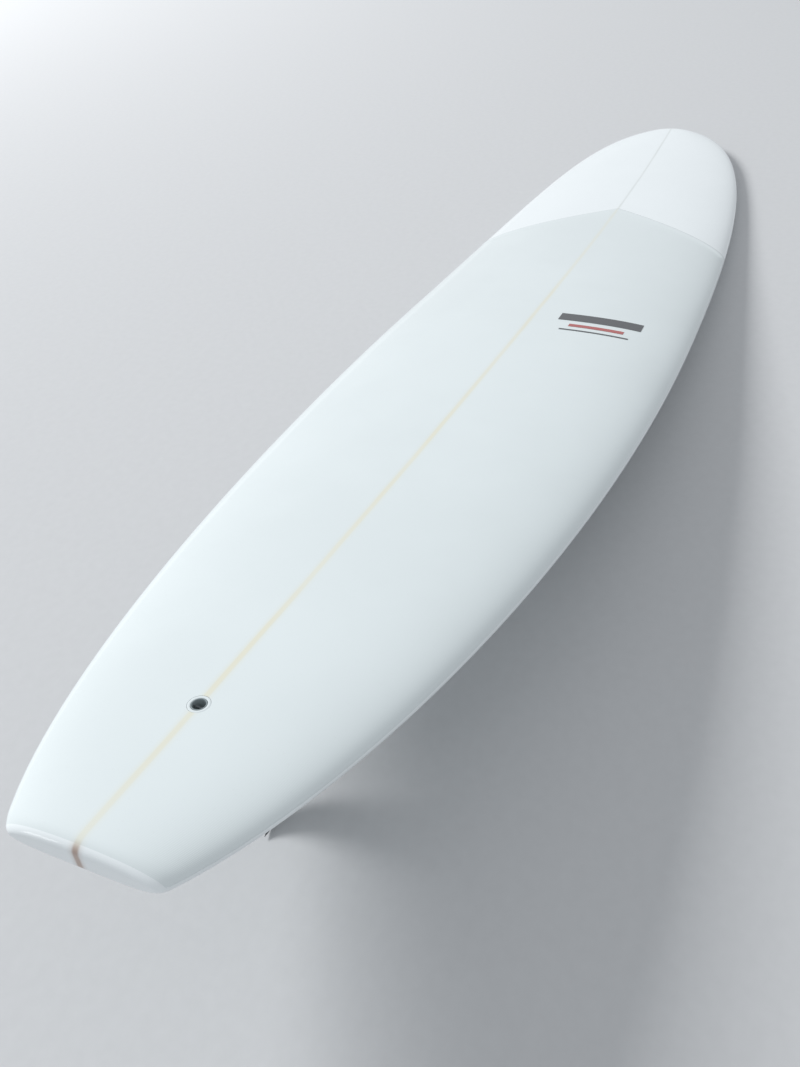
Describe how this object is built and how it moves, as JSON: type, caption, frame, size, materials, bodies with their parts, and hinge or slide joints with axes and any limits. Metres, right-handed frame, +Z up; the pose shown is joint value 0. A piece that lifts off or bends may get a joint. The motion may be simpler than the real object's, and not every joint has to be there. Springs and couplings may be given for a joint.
{
  "type": "longboard surfboard",
  "caption": "Long surfboard with a rounded nose, square tail, wooden stringer, leash plug and one fin that slides in its box.",
  "frame": {"origin": "middle of the footprint on the floor, where the fin tip and the front of the belly touch", "axes": "+X towards the nose, +Y to the left side, +Z up from the floor; the board lies deck up, pitched nose down"},
  "size_m": [2.7334, 0.5998, 0.304],
  "materials": {
    "laminate": "gloss",
    "foam": "matte",
    "stringer_wood": "satin",
    "dark_ink": "gloss",
    "red_ink": "gloss",
    "plug_plastic": "satin",
    "steel": "satin",
    "resin": "gloss",
    "box_plastic": "satin",
    "fin_laminate": "gloss",
    "brass": "satin"
  },
  "bodies": {
    "board": {"foam_left": "foam", "foam_right": "foam", "stringer": "stringer_wood", "deck_laminate": "laminate", "bottom_laminate": "laminate", "deck_patch": "laminate", "fin_patch": "laminate", "deck_decal_long": "dark_ink", "deck_decal_short": "red_ink", "deck_decal_thin": "dark_ink", "leash_plug_cup": "plug_plastic", "leash_plug_bar": "steel", "leash_plug_potting": "resin", "fin_box": "box_plastic", "fin_box_potting": "resin"},
    "fin_unit": {"fin": "fin_laminate", "fin_pin": "brass", "fin_plate": "brass"},
    "screw": {"fin_screw": "steel"}
  },
  "joints": [
    {"name": "fin_slide", "type": "slide", "parent": "board", "child": "fin_unit", "axis": [0.9824, 0, -0.1869], "range_m": [-0.047, 0.047]},
    {"name": "fin_screw_turn", "type": "hinge", "parent": "fin_unit", "child": "screw", "pos_m": [-0.92765, 0, 0.18412], "axis": [0.1869, 0, 0.9824], "range_deg": [-720, 0]}
  ]
}
